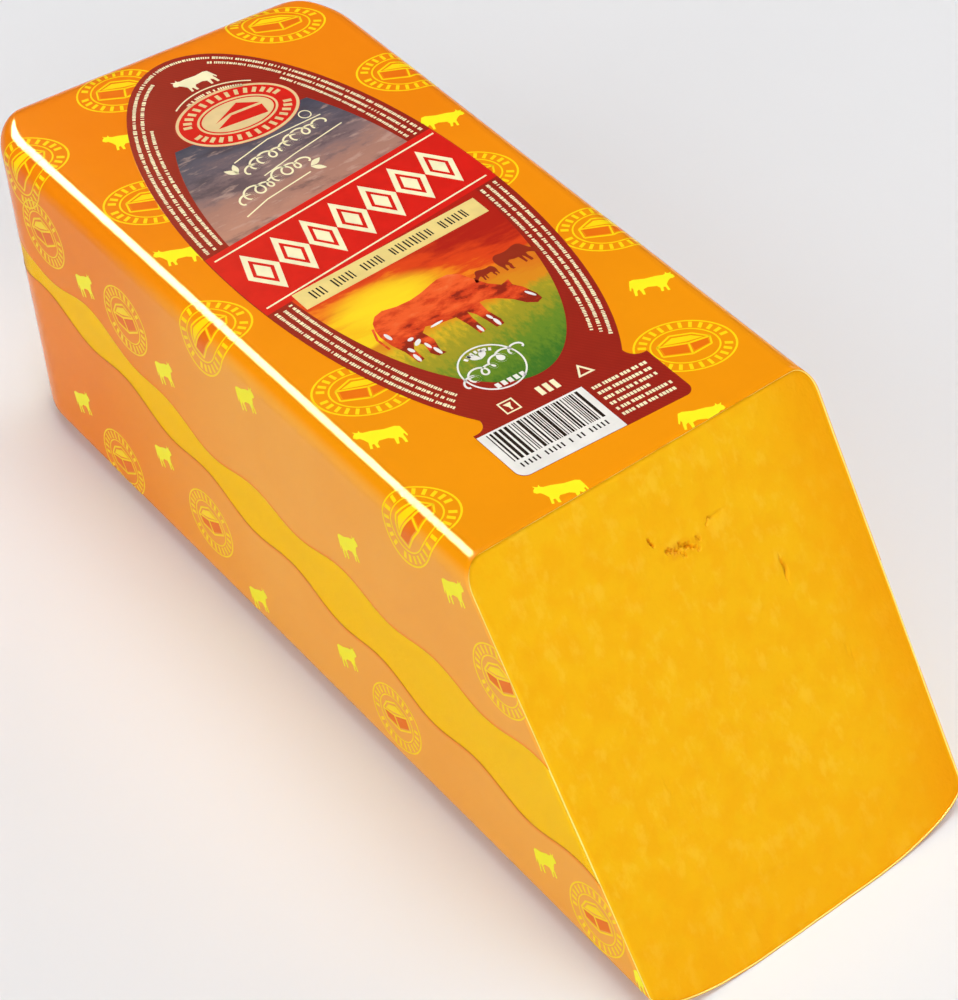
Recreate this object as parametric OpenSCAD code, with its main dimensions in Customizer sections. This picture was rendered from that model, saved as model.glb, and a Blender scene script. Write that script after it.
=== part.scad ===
// Block of cheddar, cut across at one end, in a printed shrink wrap with a label on top.
// The cut end faces -Y and the far, wrapped end faces +Y. The block rests on its base.

/* [Block] */
// Width of the cheese across its top
top_w = 119.6; // [90:0.1:160]
// Width of the cheese across its base, less than the top because the mould tapers
base_w = 112.8; // [85:0.1:155]
// Height of the cheese
block_h = 100.3; // [70:0.1:140]
// Length of the top, from the cut to the far end, along the middle
top_len = 231.4; // [225:0.1:400]
// Lean of the far end, in degrees from upright
end_lean = 5.7; // [0:0.1:10]

/* [Edges] */
// Radius of the two long top edges
top_edge_r = 6.4; // [2:0.1:12]
// Width of the soft roll along each bottom edge
base_roll_w = 39.5; // [10:0.5:41]
// Height of the soft roll along each bottom edge
base_roll_h = 7; // [3:0.1:14]
// Radius of the far end's two upright corners, seen from above
end_corner_r = 23.8; // [8:0.1:30]
// Radius of the far end's top and bottom edges
end_edge_r = 11.2; // [4:0.1:18]

/* [Cut] */
// Angle of the cut face, in degrees from upright
cut_angle = 38.9; // [0:0.1:45]
// Turn of the cut face away from square, in degrees
cut_skew = 3.4; // [-6:0.1:6]

/* [Wrap] */
// Thickness of the shrink wrap
film_t = 0.2; // [0.1:0.05:0.6]

/* [Label] */
// Width of the label's oval
oval_w = 87.4; // [50:0.1:88]
// Length of the label's oval
oval_len = 198; // [120:0.5:200]
// Width of the square foot below the oval
foot_w = 57; // [30:0.5:80]
// Length of the square foot
foot_len = 20; // [12:0.5:30]
// Length by which the oval runs down behind the foot
foot_lap = 11.5; // [6:0.5:20]
// Radius of the foot's two lower corners
foot_corner_r = 3; // [1:0.1:6]
// Radius of the neck between the oval and the foot
neck_r = 4; // [1:0.1:6]
// Clear wrap between the foot and the cut, along the middle of the top
foot_gap = 12; // [6:0.5:30]
// Thickness of the label
label_t = 0.15; // [0.1:0.05:0.4]

/* [Hidden] */
corner_steps = 10;
end_steps = 9;
oval_steps = 120;
cheese_colour = "#eeb21c";
film_colour = "#f0930f";
label_colour = "#a2231b";

// Height of the block's own base above the ground, which the wrap lifts it to.
cheese_z = film_t;
label_z = cheese_z + block_h + film_t;

// Points along a quarter of an ellipse, from start_angle on, counter-clockwise.
function quarter(cx, cz, rx, rz, start_angle) =
    [for (i = [0:corner_steps])
        let (a = start_angle + 90 * i / corner_steps)
        [cx + rx * cos(a), cz + rz * sin(a)]];

// Width at a height, as a share of the width across the top.
function taper(z) = (base_w + (top_w - base_w) * z / block_h) / top_w;

// Outline across the block, grown outwards by grow, as [x, z] points.
function outline(grow) =
    let (
        half = top_w / 2 + grow,
        top = block_h + grow,
        r = top_edge_r + grow,
        rw = base_roll_w + grow,
        rh = base_roll_h + grow,
        points = concat(
            quarter(half - r, top - r, r, r, 0),
            quarter(r - half, top - r, r, r, 90),
            quarter(rw - half, rh - grow, rw, rh, 180),
            quarter(half - rw, rh - grow, rw, rh, 270)))
    [for (p = points) [p[0] * taper(p[1]), p[1]]];

// How far a rounded edge of radius r has drawn in, at a depth measured from its end face.
function drawn_in(r, depth) =
    let (rest = r - min(r, depth))
    r - sqrt(max(r * r - rest * rest, 0));

// The cut plane's place along the block, at a point across it.
function cut_y(x, z) = -top_len - (block_h - z) * tan(cut_angle) + x * tan(cut_skew);

// Rings of points from the cut to the far end, which is rounded over its last stretch.
function rings(grow) =
    let (
        corner = end_corner_r + grow,
        edge = end_edge_r + grow,
        reach = max(corner, edge),
        middle_z = block_h / 2,
        across = outline(grow))
    concat(
        [[for (p = across) [p[0], cut_y(p[0], p[1]), p[1]]]],
        [for (i = [0:end_steps])
            let (
                depth = reach * (1 - sin(90 * i / end_steps)),
                narrow = 1 - drawn_in(corner, depth) / (top_w / 2 + grow),
                flat = 1 - drawn_in(edge, depth) / (middle_z + grow))
            [for (p = across)
                let (z = middle_z + (p[1] - middle_z) * flat)
                [p[0] * narrow, grow - depth - (block_h - z) * tan(end_lean), z]]]);

// The length is centred on the ground between the wrap's nearest and farthest points.
wrap_y = [for (ring = rings(film_t)) for (p = ring) p[1]];
middle_y = (min(wrap_y) + max(wrap_y)) / 2;

function placed_points(ring_list) =
    [for (ring = ring_list) for (p = ring) [p[0], p[1] - middle_y, p[2] + cheese_z]];

// Triangles between neighbouring rings of n points, the first ring starting at point first.
function skin_faces(n, ring_count, first, inward) =
    [for (i = [0:ring_count - 2]) for (j = [0:n - 1])
        let (
            a = first + i * n + j,
            b = first + i * n + (j + 1) % n,
            c = a + n,
            d = b + n)
        for (face = inward ? [[a, c, b], [b, c, d]] : [[a, b, c], [b, d, c]]) face];

function ring_face(n, first, inward) =
    [[for (j = [0:n - 1]) first + (inward ? n - 1 - j : j)]];

module cheese() {
    ring_list = rings(0);
    n = len(ring_list[0]);
    count = len(ring_list);
    color(cheese_colour)
        polyhedron(
            points = placed_points(ring_list),
            faces = concat(
                skin_faces(n, count, 0, false),
                ring_face(n, 0, true),
                ring_face(n, (count - 1) * n, false)));
}

// The wrap is the grown block with the cheese's own surface as its inside, open at the cut.
module film() {
    outer = rings(film_t);
    inner = rings(0);
    n = len(outer[0]);
    count = len(outer);
    inside = n * count;
    rim = [for (j = [0:n - 1])
        let (k = (j + 1) % n)
        for (face = [[j, inside + j, k], [k, inside + j, inside + k]]) face];
    color(film_colour)
        polyhedron(
            points = concat(placed_points(outer), placed_points(inner)),
            faces = concat(
                skin_faces(n, count, 0, false),
                ring_face(n, (count - 1) * n, false),
                skin_faces(n, count, inside, true),
                ring_face(n, inside + (count - 1) * n, true),
                rim));
}

// Half the oval's width at a distance up from its lower end.
function oval_half(up) =
    let (v = (up - oval_len / 2) / (oval_len / 2))
    oval_w / 2 * sqrt(max(1 - v * v, 0));

// The foot's own frame: y is 0 along its top edge.
module neck(side) {
    centre_x = oval_half(foot_lap + neck_r) + neck_r;
    mirror([side, 0])
        difference() {
            square([centre_x, neck_r]);
            translate([centre_x, neck_r]) circle(r = neck_r, $fn = 48);
        }
}

module foot() {
    translate([-foot_w / 2, foot_corner_r - foot_len])
        square([foot_w, foot_len - foot_corner_r]);
    translate([foot_corner_r - foot_w / 2, -foot_len])
        square([foot_w - 2 * foot_corner_r, 2 * foot_corner_r]);
    for (side = [-1, 1])
        translate([side * (foot_w / 2 - foot_corner_r), foot_corner_r - foot_len])
            circle(r = foot_corner_r, $fn = 48);
    for (side = [0, 1]) neck(side);
}

module label() {
    foot_y = -top_len - middle_y + foot_gap + foot_len;
    color(label_colour)
        translate([0, foot_y, label_z])
            linear_extrude(label_t) {
                foot();
                translate([0, oval_len / 2 - foot_lap])
                    polygon([for (i = [0:oval_steps - 1])
                        let (a = 360 * i / oval_steps)
                        [oval_w / 2 * cos(a), oval_len / 2 * sin(a)]]);
            }
}

cheese();
film();
label();
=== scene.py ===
"""A cut block of cheddar in a printed shrink wrap with an oval label, on a plain pale floor."""

import math
import random

import bmesh
import bpy
import numpy as np
from mathutils import Matrix, Vector, noise
from mathutils.bvhtree import BVHTree
from mathutils.geometry import tessellate_polygon


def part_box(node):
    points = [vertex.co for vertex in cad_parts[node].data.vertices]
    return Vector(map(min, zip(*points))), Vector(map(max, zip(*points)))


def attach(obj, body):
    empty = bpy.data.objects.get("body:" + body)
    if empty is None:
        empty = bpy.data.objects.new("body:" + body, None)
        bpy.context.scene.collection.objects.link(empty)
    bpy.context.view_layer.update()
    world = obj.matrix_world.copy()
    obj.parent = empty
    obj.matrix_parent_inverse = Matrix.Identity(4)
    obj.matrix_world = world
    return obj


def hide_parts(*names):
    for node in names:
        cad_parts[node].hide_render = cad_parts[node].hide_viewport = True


bl_info = {
    "name": "Cheddar block",
    "version": (1, 0, 0),
    "blender": (4, 5, 0),
    "location": "3D View > Sidebar > Cheddar",
    "description": "Builds a wrapped block of cheddar with a slanting cut and an oval label",
    "category": "Object",
}

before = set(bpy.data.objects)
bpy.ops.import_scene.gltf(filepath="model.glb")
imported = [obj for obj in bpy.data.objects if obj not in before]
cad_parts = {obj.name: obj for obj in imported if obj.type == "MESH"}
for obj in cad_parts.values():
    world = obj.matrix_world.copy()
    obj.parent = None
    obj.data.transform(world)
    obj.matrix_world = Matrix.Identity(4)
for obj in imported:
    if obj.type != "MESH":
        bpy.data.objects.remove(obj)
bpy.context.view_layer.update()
FILM_LOW, FILM_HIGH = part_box("film")
CHEESE_LOW, CHEESE_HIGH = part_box("cheese")
LABEL_LOW, LABEL_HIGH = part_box("label")
MM = 0.001
FILM_T = CHEESE_LOW.z - FILM_LOW.z
BLOCK_H = CHEESE_HIGH.z - CHEESE_LOW.z


def srgb(red, green, blue):
    """A colour given in screen values from 0 to 255, as the linear values that Blender uses."""
    def linear(value):
        share = value / 255
        return share / 12.92 if share <= 0.04045 else ((share + 0.055) / 1.055) ** 2.4
    return (linear(red), linear(green), linear(blue))


def length_prop(name, description, default):
    """A length, shown in the scene's unit."""
    return bpy.props.FloatProperty(
        name=name, description=description, default=default, unit="LENGTH", precision=5)


def angle_prop(name, description, degrees):
    """An angle, given in degrees and kept in radians."""
    return bpy.props.FloatProperty(
        name=name, description=description, default=math.radians(degrees), unit="ROTATION")


def colour_prop(name, description, default):
    """A colour in linear values."""
    return bpy.props.FloatVectorProperty(
        name=name, description=description, default=default, size=3, subtype="COLOR",
        min=0, max=1)


def number_prop(name, description, default):
    """A plain number."""
    return bpy.props.FloatProperty(name=name, description=description, default=default)


class CheddarBlockSettings(bpy.types.PropertyGroup):
    """The form of the block, with the values that its construction uses."""

    top_w: length_prop("Top width", "Width of the cheese across its top", 119.6 * MM)
    base_w: length_prop("Base width", "Width of the cheese across its base", 112.8 * MM)
    end_lean: angle_prop("End lean", "Lean of the far end from upright", 5.7)
    top_edge_r: length_prop("Top edge", "Radius of the two long top edges", 6.4 * MM)
    base_roll_w: length_prop("Base roll width", "Width of each bottom edge's roll", 39.5 * MM)
    base_roll_h: length_prop("Base roll height", "Height of each bottom edge's roll", 7 * MM)
    end_corner_r: length_prop("End corner", "Radius of the far end's upright corners", 23.8 * MM)
    end_edge_r: length_prop("End edge", "Radius of the far end's other edges", 11.2 * MM)
    cut_angle: angle_prop("Cut angle", "Angle of the cut face from upright", 38.9)
    cut_skew: angle_prop("Cut skew", "Turn of the cut face away from square", 3.4)
    cheese_colour: colour_prop("Cheese", "Colour of the cheese", srgb(243, 182, 20))
    cheese_deep: colour_prop("Cheese, deep", "Colour of the drier rim", srgb(240, 158, 10))


class CheddarWrapSettings(bpy.types.PropertyGroup):
    """The shrink wrap and its print."""

    sink: length_prop("Sink", "How far the wrap lies inside its greatest size", 0.06 * MM)
    skin_t: length_prop("Skin thickness", "Thickness of the wrap's skin", 0.09 * MM)
    bead_r: length_prop("Edge bead", "Radius of the bead along the wrap's cut edge", 0.22 * MM)
    print_sink: length_prop("Print sink", "How far the ink lies inside the greatest size",
                            0.02 * MM)
    print_t: length_prop("Print thickness", "Thickness of the ink figures", 0.03 * MM)
    ripple: length_prop("Ripple", "Depth of the wrap's slow ripples", 0.12 * MM)
    strip_top: length_prop("Strip top", "Height of the clear strip's upper edge", 56 * MM)
    strip_top_rise: length_prop("Strip top rise", "Rise of that edge to the far end", 9 * MM)
    strip_base: length_prop("Strip base", "Height of the clear strip's lower edge", 31.5 * MM)
    strip_base_rise: length_prop("Strip base rise", "Rise of that edge to the far end", 26 * MM)
    wave: length_prop("Wave", "Height of the waves in the print's edges", 1.8 * MM)
    wave_len: length_prop("Wave length", "Length of the waves in the print's edges", 41 * MM)
    orange: colour_prop("Orange", "Colour of the printed wrap", srgb(243, 150, 8))
    orange_deep: colour_prop("Deep orange", "Colour of the print's edges", srgb(238, 112, 8))
    yellow: colour_prop("Yellow", "Colour of the printed figures", srgb(250, 240, 35))
    line_yellow: colour_prop("Line yellow", "Colour of the medallions' lines", srgb(255, 216, 20))
    cow_w: length_prop("Cow width", "Width of a printed cow", 14 * MM)
    medallion_w: length_prop("Medallion width", "Width of a printed medallion", 28 * MM)


class CheddarLabelSettings(bpy.types.PropertyGroup):
    """The label, with its picture, banner and stripes."""

    oval_w: length_prop("Oval width", "Width of the label's oval", 87.4 * MM)
    oval_len: length_prop("Oval length", "Length of the label's oval", 198 * MM)
    foot_w: length_prop("Foot width", "Width of the square foot", 57 * MM)
    foot_len: length_prop("Foot length", "Length of the square foot", 20 * MM)
    foot_lap: length_prop("Foot lap", "Length by which the oval runs behind the foot", 11.5 * MM)
    foot_corner_r: length_prop("Foot corner", "Radius of the foot's lower corners", 3 * MM)
    neck_r: length_prop("Neck", "Radius of the neck above the foot", 4 * MM)
    picture_w: length_prop("Picture width", "Width of the oval picture", 70 * MM)
    picture_len: length_prop("Picture length", "Length of the oval picture", 156 * MM)
    banner_tilt: angle_prop("Banner tilt", "Tilt of the banner across the label", 8.5)
    strip_tilt: angle_prop("Strip tilt", "Tilt of the cream strip", 5)
    ink_step: length_prop("Ink step", "Height of each layer of ink above the last", 0.018 * MM)
    red: colour_prop("Dark red", "Colour of the label's border", srgb(158, 34, 22))
    banner_red: colour_prop("Banner red", "Colour of the banner", srgb(218, 26, 18))
    cream: colour_prop("Cream", "Colour of the cream ink", srgb(250, 240, 196))
    white: colour_prop("White", "Colour of the white field", srgb(240, 236, 230))
    dark: colour_prop("Dark ink", "Colour of the dark stripes", srgb(40, 26, 22))


class CheddarStageSettings(bpy.types.PropertyGroup):
    """The floor, the light and the view."""

    floor_colour: colour_prop("Floor", "Colour of the floor", srgb(233, 233, 235))
    view_azimuth: angle_prop("View azimuth", "Direction of the camera round the block", -37.67)
    view_elevation: angle_prop("View elevation", "Height of the camera as an angle", 42.45)
    view_roll: angle_prop("View roll", "Roll of the camera", 0.59)
    view_distance: length_prop("View distance", "Distance from the camera to its aim", 839.9 * MM)
    aim_x: length_prop("Aim across", "Aim point, across the block", -8.1 * MM)
    aim_y: length_prop("Aim along", "Aim point, along the block", -18.1 * MM)
    aim_z: length_prop("Aim height", "Aim point, height", 50.3 * MM)
    lens: number_prop("Lens", "Focal length in millimetres", 111.14)
    key_power: number_prop("Key light", "Power of the light above", 86.0)
    edge_power: number_prop("Edge light", "Power of the strip that shines on edges", 3200.0)
    side_power: number_prop("Side light", "Power of the broad light on the left", 60.0)
    front_power: number_prop("Front light", "Power of the broad light in front", 70.0)
    back_power: number_prop("Back light", "Power of the light behind on the right", 30.0)
    light_distance: length_prop("Light distance", "Distance from each light to the block", 4.0)
    sky_strength: number_prop("Sky", "Strength of the even light all round", 0.15)


# ---------------------------------------------------------------- the block's form


class BlockForm:
    """The wrapped block's surface: across is the distance round it from the top's middle line."""

    def __init__(self, sizes):
        self.sizes = sizes
        self.grow = FILM_T
        self.middle_z = BLOCK_H / 2
        self.points = self.outline(self.grow)
        steps = np.linalg.norm(np.diff(self.points, axis=0), axis=1)
        self.across = np.concatenate([[0], np.cumsum(steps)])
        self.round = self.across[-1]
        # The surface is first worked out without a shift, then moved so that its far end
        # reaches the end of the frame's wrap.
        self.shift_y = 0.0
        self.shift_y = FILM_HIGH.y - self.far_reach()

    def outline(self, grow):
        """Closed outline from the top's middle, round by +X, the base and -X."""
        s = self.sizes
        half, top = s.top_w / 2 + grow, BLOCK_H + grow
        r, rw, rh = s.top_edge_r + grow, s.base_roll_w + grow, s.base_roll_h + grow
        turn = np.radians(np.linspace(0, 90, 33))
        right = [[0, top]]
        right += [[half - r + r * math.sin(a), top - r + r * math.cos(a)] for a in turn]
        right += [[half, top + (rh - grow - top) * t] for t in np.linspace(0.1, 0.95, 18)]
        right += [[half - rw + rw * math.cos(a), rh - grow - rh * math.sin(a)] for a in turn]
        right += [[0, -grow]]
        left = [[-x, z] for x, z in right[-2::-1]]
        points = np.array(right + left)
        points[:, 0] *= self.taper(points[:, 1])
        return points

    def taper(self, z):
        """Share of the top's width at a height."""
        s = self.sizes
        return (s.base_w + (s.top_w - s.base_w) * z / BLOCK_H) / s.top_w

    @staticmethod
    def drawn_in(radius, depth):
        """How far a quarter round has drawn in at a depth from the far end."""
        rest = radius - np.minimum(radius, np.maximum(depth, 0))
        return radius - np.sqrt(np.maximum(radius**2 - rest**2, 0))

    def shrink(self, depth):
        """Shares of the width and of the height that are left at a depth from the far end."""
        s = self.sizes
        corner, edge = s.end_corner_r + self.grow, s.end_edge_r + self.grow
        narrow = 1 - self.drawn_in(corner, depth) / (s.top_w / 2 + self.grow)
        flat = 1 - self.drawn_in(edge, depth) / (self.middle_z + self.grow)
        return narrow, flat

    def section(self, across):
        """Points (x, z) of the outline at distances across, either way round."""
        where = np.mod(across, self.round)
        x = np.interp(where, self.across, self.points[:, 0])
        z = np.interp(where, self.across, self.points[:, 1])
        return x, z

    def far_reach(self):
        """Furthest y of the surface at the far end."""
        depth = np.linspace(0, self.sizes.end_corner_r, 400)
        across, deep = np.meshgrid(self.across, depth)
        return self.bare(across, deep)[..., 1].max()

    def bare(self, across, depth):
        """Points of the true surface, at distances across and at depths from the far end."""
        x, z = self.section(across)
        narrow, flat = self.shrink(depth)
        z = self.middle_z + (z - self.middle_z) * flat
        y = self.grow - depth - (BLOCK_H - z) * math.tan(self.sizes.end_lean) + self.shift_y
        return np.stack([x * narrow, y, z + CHEESE_LOW.z], axis=-1)

    def normal(self, across, depth):
        """Outward directions of the true surface."""
        tiny = 0.2 * MM
        along = self.bare(across, depth + tiny) - self.bare(across, np.maximum(depth - tiny, 0))
        over = self.bare(across + tiny, depth) - self.bare(across - tiny, depth)
        cross = np.cross(along, over)
        return cross / np.maximum(np.linalg.norm(cross, axis=-1, keepdims=True), 1e-12)

    def ripple(self, across, depth):
        """Slow ripples of the tight wrap, from 0 to 1, with none under the label."""
        middle = np.abs((across + self.round / 2) % self.round - self.round / 2)
        away = np.clip((middle - 47 * MM) / (12 * MM), 0, 1)
        across = np.mod(across, self.round)
        long_wave = np.sin(depth / (19 * MM) + 2.1 * np.sin(across / (31 * MM)))
        cross_wave = np.sin(across / (9 * MM) + 1.4 * np.sin(depth / (43 * MM)))
        return away * (0.5 + 0.27 * long_wave + 0.23 * cross_wave)

    def place(self, across, depth, sink):
        """Points at a distance inside the true surface, following the wrap's ripples."""
        across, depth = np.broadcast_arrays(np.asarray(across, float), np.asarray(depth, float))
        inward = sink + wrap_settings().ripple * self.ripple(across, depth)
        return self.bare(across, depth) - self.normal(across, depth) * inward[..., None]

    def cut_depth(self, across):
        """Depth from the far end at which the cut crosses the surface."""
        x, z = self.section(across)
        s = self.sizes
        past = (BLOCK_H - z) * math.tan(s.cut_angle) - x * math.tan(s.cut_skew)
        lean = (BLOCK_H - z) * math.tan(s.end_lean)
        return self.grow + self.top_len() + past - lean

    def top_len(self):
        """Length of the top along its middle, which follows from the whole length."""
        s = self.sizes
        near = [(BLOCK_H - z) * math.tan(s.cut_angle) - x * math.tan(s.cut_skew)
                for x, z in self.points]
        return self.shift_y - FILM_LOW.y - max(near)

    def cut_plane(self):
        """A point on the cut plane and its outward direction."""
        s = self.sizes
        point = Vector((0, self.shift_y - self.top_len(), BLOCK_H + CHEESE_LOW.z))
        outward = Vector((math.tan(s.cut_skew), -1, math.tan(s.cut_angle)))
        return point, outward.normalized()


def block_settings():
    """The form's values in this scene."""
    return bpy.context.scene.cheddar_block


def wrap_settings():
    """The wrap's values in this scene."""
    return bpy.context.scene.cheddar_wrap


def label_settings():
    """The label's values in this scene."""
    return bpy.context.scene.cheddar_label


def stage_settings():
    """The stage's values in this scene."""
    return bpy.context.scene.cheddar_stage


# ---------------------------------------------------------------- meshes


def make_piece(name, verts, faces, material, slot=None, smooth=True):
    """A mesh object in the block's frame, attached to the block's root body if a slot is given.
    """
    mesh = bpy.data.meshes.new(name)
    mesh.from_pydata([tuple(v) for v in verts], [], [tuple(f) for f in faces])
    mesh.validate()
    mesh.polygons.foreach_set("use_smooth", [smooth] * len(mesh.polygons))
    mesh.materials.append(material)
    piece = bpy.data.objects.new(name, mesh)
    bpy.context.scene.collection.objects.link(piece)
    if slot:
        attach(piece, "root")
    return piece


def grid_faces(rows, columns, closed=False):
    """Quads of a grid whose points run along its columns first."""
    faces = []
    for row in range(rows - 1):
        for column in range(columns if closed else columns - 1):
            a = row * columns + column
            b = row * columns + (column + 1) % columns
            faces.append((a, b, b + columns, a + columns))
    return faces


class FlatArt:
    """Thin plates of ink on the label, drawn in millimetres from the oval's centre."""

    def __init__(self, centre_y, low, high):
        self.centre_y = centre_y
        self.low, self.high = low, high
        self.verts, self.faces = [], []

    def plate(self, outline, hole=None):
        """A closed plate with this outline, and with one hole if that is given."""
        loops = [outline] if hole is None else [outline, hole]
        first = len(self.verts)
        flat = [point for loop in loops for point in loop]
        for z in (self.high, self.low):
            self.verts += [(x * MM, y * MM + self.centre_y, z) for x, y in flat]
        count = len(flat)
        triangles = tessellate_polygon([[Vector((x, y, 0)) for x, y in p] for p in loops])
        for a, b, c in triangles:
            ax, ay = flat[a]
            area = (flat[b][0] - ax) * (flat[c][1] - ay) - (flat[c][0] - ax) * (flat[b][1] - ay)
            a, b, c = (a, b, c) if area > 0 else (a, c, b)
            self.faces.append((first + a, first + b, first + c))
            self.faces.append((first + count + c, first + count + b, first + count + a))
        start = 0
        for loop in loops:
            for i in range(len(loop)):
                a, b = first + start + i, first + start + (i + 1) % len(loop)
                self.faces.append((a, a + count, b + count, b))
            start += len(loop)

    def stroke(self, line, width):
        """A line of constant width along points."""
        line = [Vector(p) for p in line]
        left, right = [], []
        for i, point in enumerate(line):
            ahead = line[min(i + 1, len(line) - 1)] - line[max(i - 1, 0)]
            side = Vector((-ahead.y, ahead.x)).normalized() * width / 2
            left.append(tuple(point + side))
            right.append(tuple(point - side))
        self.plate(left + right[::-1])

    def ring(self, centre, radii, width, steps=72):
        """An oval line of constant width."""
        outer = ellipse(centre, (radii[0] + width / 2, radii[1] + width / 2), steps)
        inner = ellipse(centre, (radii[0] - width / 2, radii[1] - width / 2), steps)
        self.plate(outer, inner)

    def piece(self, name, material):
        """The piece that holds every plate so far."""
        return make_piece(name, self.verts, self.faces, material, "label", smooth=False)


def ellipse(centre, radii, steps=72, turn=0.0, start=0.0, end=360.0):
    """Points along an ellipse, closed unless it stops short of a full turn."""
    count = steps if end - start >= 360 else steps + 1
    points = []
    for i in range(count):
        angle = math.radians(start + (end - start) * i / steps)
        x, y = radii[0] * math.cos(angle), radii[1] * math.sin(angle)
        points.append((centre[0] + x * math.cos(turn) - y * math.sin(turn),
                       centre[1] + x * math.sin(turn) + y * math.cos(turn)))
    return points


def clipped(points, room):
    """The part of a convex outline where room(x, y), a straight function, is not negative."""
    kept = []
    for (ax, ay), (bx, by) in zip(points, points[1:] + points[:1]):
        a, b = room(ax, ay), room(bx, by)
        if a >= 0:
            kept.append((ax, ay))
        if (a > 0 > b) or (a < 0 < b):
            share = a / (a - b)
            kept.append((ax + (bx - ax) * share, ay + (by - ay) * share))
    return kept


def moved(points, place=(0, 0), size=1.0, turn=0.0, mirrored=False):
    """Points scaled, turned and moved, and mirrored left to right first if asked."""
    side = -1 if mirrored else 1
    c, s = math.cos(turn), math.sin(turn)
    return [(place[0] + size * (side * x * c - y * s), place[1] + size * (side * x * s + y * c))
            for x, y in points]


# ---------------------------------------------------------------- simple figures, one unit wide

STANDING_COW = (
    (-0.51, 0.09), (-0.50, 0.15), (-0.46, 0.20), (-0.49, 0.26), (-0.43, 0.22), (-0.39, 0.22),
    (-0.37, 0.27), (-0.35, 0.21), (-0.30, 0.19),
    (-0.16, 0.20), (0.08, 0.18), (0.30, 0.21), (0.39, 0.18), (0.43, 0.06), (0.47, -0.08),
    (0.45, -0.12), (0.41, -0.02), (0.39, -0.06), (0.41, -0.16), (0.42, -0.28), (0.37, -0.28),
    (0.34, -0.15), (0.29, -0.10), (0.27, -0.18), (0.26, -0.28), (0.21, -0.28), (0.20, -0.12),
    (0.10, -0.08), (-0.08, -0.10), (-0.12, -0.17), (-0.11, -0.28), (-0.16, -0.28),
    (-0.19, -0.16), (-0.23, -0.17), (-0.24, -0.28), (-0.29, -0.28), (-0.28, -0.10),
    (-0.34, -0.01), (-0.40, 0.05), (-0.46, 0.05))

GRAZING_COW = (
    (-0.54, 0.01), (-0.53, 0.08), (-0.50, 0.15), (-0.45, 0.20), (-0.38, 0.22), (-0.28, 0.20),
    (-0.17, 0.20), (-0.07, 0.22), (0.02, 0.25), (0.09, 0.27), (0.17, 0.27), (0.24, 0.23),
    (0.28, 0.14), (0.33, 0.04), (0.39, -0.02), (0.46, 0.00), (0.45, -0.06), (0.49, -0.12),
    (0.52, -0.22), (0.52, -0.28), (0.47, -0.30), (0.41, -0.26), (0.36, -0.18), (0.28, -0.11),
    (0.22, -0.08), (0.17, -0.08), (0.16, -0.18), (0.18, -0.29), (0.17, -0.34), (0.11, -0.34),
    (0.10, -0.26), (0.08, -0.16), (0.05, -0.11), (0.04, -0.18), (0.04, -0.32), (-0.01, -0.33),
    (-0.02, -0.22), (-0.04, -0.11), (-0.15, -0.10), (-0.25, -0.07), (-0.30, -0.11),
    (-0.28, -0.20), (-0.31, -0.31), (-0.29, -0.35), (-0.35, -0.35), (-0.38, -0.30),
    (-0.36, -0.21), (-0.40, -0.15), (-0.44, -0.21), (-0.44, -0.32), (-0.49, -0.33),
    (-0.50, -0.20), (-0.53, -0.10))


def oblong(left, low, right, high):
    """The corners of an upright rectangle."""
    return [(left, low), (right, low), (right, high), (left, high)]


def spokes(centre, radii, angles, half, size=1.0):
    """Short dashes at angles round an oval, each turned towards its centre."""
    for angle in angles:
        spot = (centre[0] + radii[0] * math.cos(angle), centre[1] + radii[1] * math.sin(angle))
        yield moved(oblong(-half[0], -half[1], half[0], half[1]), spot, size,
                    angle - math.pi / 2)


def leaf(length, width):
    """A pointed leaf along +X from the origin."""
    steps = 8
    upper = [(length * i / steps, width / 2 * math.sin(math.pi * i / steps))
             for i in range(steps + 1)]
    return upper + [(x, -y) for x, y in upper[-2:0:-1]]


# ---------------------------------------------------------------- the prints' shapes


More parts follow.
